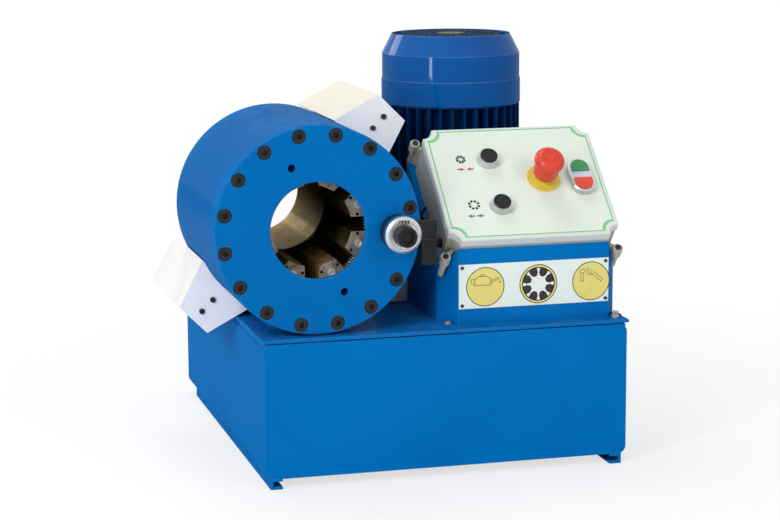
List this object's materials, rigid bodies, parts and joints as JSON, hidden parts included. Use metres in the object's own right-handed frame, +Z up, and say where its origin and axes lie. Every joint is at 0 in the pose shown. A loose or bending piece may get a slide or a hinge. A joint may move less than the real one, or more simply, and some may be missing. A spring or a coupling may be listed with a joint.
{
  "type": "hose crimping machine",
  "caption": "Hydraulic hose crimping machine: oil tank base, drum-shaped crimping head with wedge jaws driven by a cone piston, upright motor, and sloping control box with push buttons.",
  "frame": {"origin": "on the floor under the middle of the machine's footprint", "axes": "+Z up; -Y is the operator's side, which the crimping head's mouth and the control box face; +X to the right of a person facing the machine; the head axis runs along Y"},
  "size_m": [0.5444, 0.5918, 0.527],
  "materials": {
    "blue_paint": "satin gloss blue enamel",
    "motor_blue": "gloss blue enamel on ribbed aluminium",
    "white_paint": "semi-gloss white enamel",
    "tool_steel": "ground and lightly browned tool steel",
    "cone_bronze": "machined bronze, oily",
    "black_steel": "black oxide",
    "bright_steel": "ground bright",
    "zinc_steel": "zinc plated",
    "chrome_trim": "polished",
    "brass_pipe": "drawn tube, slightly tarnished",
    "cast_alloy": "machined block, matt",
    "grey_plastic": "fine texture",
    "black_plastic": "satin",
    "red_plastic": "gloss",
    "green_plastic": "gloss",
    "yellow_plastic": "gloss",
    "white_plastic": "gloss, translucent",
    "rubber_black": "matt"
  },
  "bodies": {
    "machine": {"button_bezels": "chrome_trim", "cable_gland": "black_plastic", "dial_bracket": "black_steel", "dial_cable": "rubber_black", "dial_housing": "chrome_trim", "enclosure_base": "grey_plastic", "enclosure_lid": "grey_plastic", "estop_base": "yellow_plastic", "fan_cover": "motor_blue", "filler_breather": "black_plastic", "front_flange": "blue_paint", "gear_pump": "cast_alloy", "guard_lower": "white_paint", "guard_upper": "white_paint", "head_drum": "blue_paint", "jaw_springs": "zinc_steel", "label_plate": "white_paint", "lid_gasket": "rubber_black", "limit_switch": "black_plastic", "m10_cap_screws": "black_steel", "m4_screws": "black_steel", "m6_screws": "zinc_steel", "motor_end_shield": "motor_blue", "motor_flange": "motor_blue", "motor_frame": "motor_blue", "pedestal": "blue_paint", "plate_screws": "black_steel", "pressure_pipe": "brass_pipe", "rear_cover": "blue_paint", "return_tubes": "black_steel", "signal_lens": "white_plastic", "skid_rails": "blue_paint", "solenoid_valve": "black_plastic", "tank_lid": "blue_paint", "tank_shell": "blue_paint", "terminal_box": "motor_blue", "twin_bezel": "chrome_trim", "valve_block": "cast_alloy"},
    "piston": {"cone_piston": "cone_bronze", "piston_seal": "rubber_black", "return_yoke": "blue_paint", "yoke_screws": "black_steel", "return_rods": "bright_steel"},
    "rotor": {"rotor_shaft": "bright_steel", "cooling_fan": "black_plastic"},
    "jaw_1_body": {"jaw_1": "tool_steel"},
    "jaw_2_body": {"jaw_2": "tool_steel"},
    "jaw_3_body": {"jaw_3": "tool_steel"},
    "jaw_4_body": {"jaw_4": "tool_steel"},
    "jaw_5_body": {"jaw_5": "tool_steel"},
    "jaw_6_body": {"jaw_6": "tool_steel"},
    "jaw_7_body": {"jaw_7": "tool_steel"},
    "jaw_8_body": {"jaw_8": "tool_steel"},
    "close_button_body": {"close_button": "black_plastic"},
    "open_button_body": {"open_button": "black_plastic"},
    "start_button_body": {"start_button": "green_plastic"},
    "stop_button_body": {"stop_button": "red_plastic"},
    "estop_stem_body": {"estop_stem": "red_plastic"},
    "estop_head_body": {"estop_head": "red_plastic"},
    "dial_knob_body": {"dial_knob": "black_plastic"}
  },
  "joints": [
    {"name": "piston_slide", "type": "slide", "parent": "machine", "child": "piston", "axis": [0, -1, 0], "range_m": [0, 0.067], "deforming": ["jaw_springs"]},
    {"name": "jaw_1_slide", "type": "slide", "parent": "machine", "child": "jaw_1_body", "axis": [-0.9239, 0, -0.3827], "range_m": [0, 0.022]},
    {"name": "jaw_2_slide", "type": "slide", "parent": "machine", "child": "jaw_2_body", "axis": [-0.3827, 0, -0.9239], "range_m": [0, 0.022]},
    {"name": "jaw_3_slide", "type": "slide", "parent": "machine", "child": "jaw_3_body", "axis": [0.3827, 0, -0.9239], "range_m": [0, 0.022]},
    {"name": "jaw_4_slide", "type": "slide", "parent": "machine", "child": "jaw_4_body", "axis": [0.9239, 0, -0.3827], "range_m": [0, 0.022]},
    {"name": "jaw_5_slide", "type": "slide", "parent": "machine", "child": "jaw_5_body", "axis": [0.9239, 0, 0.3827], "range_m": [0, 0.022]},
    {"name": "jaw_6_slide", "type": "slide", "parent": "machine", "child": "jaw_6_body", "axis": [0.3827, 0, 0.9239], "range_m": [0, 0.022]},
    {"name": "jaw_7_slide", "type": "slide", "parent": "machine", "child": "jaw_7_body", "axis": [-0.3827, 0, 0.9239], "range_m": [0, 0.022]},
    {"name": "jaw_8_slide", "type": "slide", "parent": "machine", "child": "jaw_8_body", "axis": [-0.9239, 0, 0.3827], "range_m": [0, 0.022]},
    {"name": "rotor_spin", "type": "hinge", "parent": "machine", "child": "rotor", "pos_m": [0.131, 0.058, 0.3], "axis": [0, 0, 1], "continuous": true},
    {"name": "close_button_press", "type": "slide", "parent": "machine", "child": "close_button_body", "axis": [0, 0.6691, -0.7431], "range_m": [0, 0.004], "stiffness_N_per_m": 400},
    {"name": "open_button_press", "type": "slide", "parent": "machine", "child": "open_button_body", "axis": [0, 0.6691, -0.7431], "range_m": [0, 0.004], "stiffness_N_per_m": 400},
    {"name": "start_button_press", "type": "slide", "parent": "machine", "child": "start_button_body", "axis": [0, 0.6691, -0.7431], "range_m": [0, 0.004], "stiffness_N_per_m": 400},
    {"name": "stop_button_press", "type": "slide", "parent": "machine", "child": "stop_button_body", "axis": [0, 0.6691, -0.7431], "range_m": [0, 0.004], "stiffness_N_per_m": 400},
    {"name": "estop_press", "type": "slide", "parent": "machine", "child": "estop_stem_body", "axis": [0, 0.6691, -0.7431], "range_m": [0, 0.005]},
    {"name": "estop_twist", "type": "hinge", "parent": "estop_stem_body", "child": "estop_head_body", "pos_m": [0.1845, -0.18627, 0.37169], "axis": [0, -0.6691, 0.7431], "range_deg": [0, 30], "stiffness_Nm_per_rad": 0.05},
    {"name": "dial_turn", "type": "hinge", "parent": "machine", "child": "dial_knob_body", "pos_m": [-0.027, -0.282, 0.3105], "axis": [0, -1, 0], "range_deg": [0, 3600]}
  ],
  "couplings": [
    {"joint": "jaw_1_slide", "follows": "piston_slide", "ratio": 0.32836},
    {"joint": "jaw_2_slide", "follows": "piston_slide", "ratio": 0.32836},
    {"joint": "jaw_3_slide", "follows": "piston_slide", "ratio": 0.32836},
    {"joint": "jaw_4_slide", "follows": "piston_slide", "ratio": 0.32836},
    {"joint": "jaw_5_slide", "follows": "piston_slide", "ratio": 0.32836},
    {"joint": "jaw_6_slide", "follows": "piston_slide", "ratio": 0.32836},
    {"joint": "jaw_7_slide", "follows": "piston_slide", "ratio": 0.32836},
    {"joint": "jaw_8_slide", "follows": "piston_slide", "ratio": 0.32836}
  ]
}
